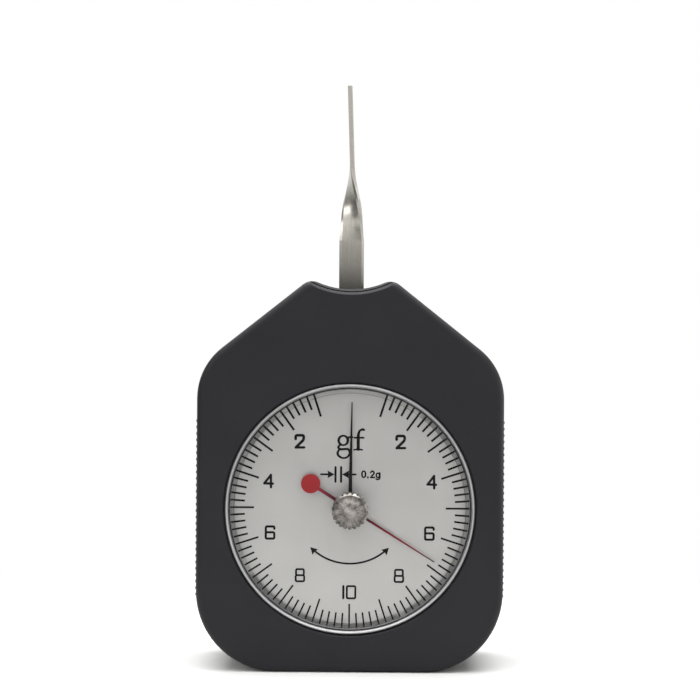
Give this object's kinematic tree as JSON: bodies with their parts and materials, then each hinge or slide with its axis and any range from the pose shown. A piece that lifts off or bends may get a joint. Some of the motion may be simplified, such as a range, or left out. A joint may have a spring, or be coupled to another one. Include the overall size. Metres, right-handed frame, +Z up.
{
  "type": "dial tension gauge",
  "caption": "Pocket force gauge with a round dial in a shouldered case, a twisted spring feeler on top, a main pointer and a red peak pointer with a knurled reset knob.",
  "frame": {"origin": "centre of the flat base, halfway through the depth of the case", "axes": "+X to the right of the dial, +Y from the dial to the back of the case, +Z up along the feeler at rest"},
  "size_m": [0.0624, 0.0292, 0.1199],
  "materials": {
    "case_plastic": "fine moulded grain, charcoal",
    "ring_bright_metal": "satin bright",
    "crystal_acrylic": "clear, polished",
    "dial_silver": "satin silver, printed black scale",
    "movement_brass": "machined",
    "screw_steel": "zinc plated",
    "arbor_steel": "turned",
    "spring_steel": "rolled",
    "feeler_steel": "brushed lengthwise",
    "knob_nickel": "turned and knurled",
    "pointer_black": "satin black",
    "pointer_red": "satin red"
  },
  "bodies": {
    "case": {"front_case": "case_plastic", "rear_cover": "case_plastic", "cover_screws": "screw_steel", "bezel_ring": "ring_bright_metal", "crystal": "crystal_acrylic", "crystal_bush": "movement_brass", "dial_plate": "dial_silver", "front_plate": "movement_brass", "back_plate": "movement_brass", "plate_pillars": "movement_brass", "pillar_screws": "screw_steel", "movement_screws": "screw_steel", "pointer_bushes": "movement_brass", "lever_bushes": "movement_brass", "stop_pins": "screw_steel", "spring_block": "movement_brass", "block_screws": "screw_steel", "leaf_spring": "spring_steel", "hairspring": "spring_steel", "hairspring_stud": "movement_brass"},
    "lever": {"lever_arbor": "arbor_steel", "feeler_holder": "movement_brass", "feeler": "feeler_steel", "clamp_plate": "arbor_steel", "clamp_screws": "screw_steel", "spring_pins": "arbor_steel", "sector_gear": "movement_brass"},
    "pointer": {"pointer_arbor": "arbor_steel", "pinion": "arbor_steel", "hairspring_collet": "movement_brass", "pointer_hub": "movement_brass", "main_pointer": "pointer_black"},
    "peak": {"reset_knob": "knob_nickel", "knob_stem": "arbor_steel", "friction_washer": "spring_steel", "peak_hub": "movement_brass", "peak_pointer": "pointer_red", "drive_pin": "arbor_steel"}
  },
  "joints": [
    {"name": "feeler_swing", "type": "hinge", "parent": "case", "child": "lever", "pos_m": [0, 0, 0.0584], "axis": [0, 1, 0], "range_deg": [-11.25, 11.25], "stiffness_Nm_per_rad": 0.03, "deforming": ["leaf_spring"]},
    {"name": "pointer_turn", "type": "hinge", "parent": "case", "child": "pointer", "pos_m": [0, 0, 0.0329], "axis": [0, 1, 0], "range_deg": [-180, 180], "deforming": ["hairspring"]},
    {"name": "peak_turn", "type": "hinge", "parent": "case", "child": "peak", "pos_m": [0, 0, 0.0329], "axis": [0, 1, 0], "range_deg": [-117, 233]}
  ],
  "couplings": [
    {"joint": "pointer_turn", "follows": "feeler_swing", "ratio": -16}
  ]
}
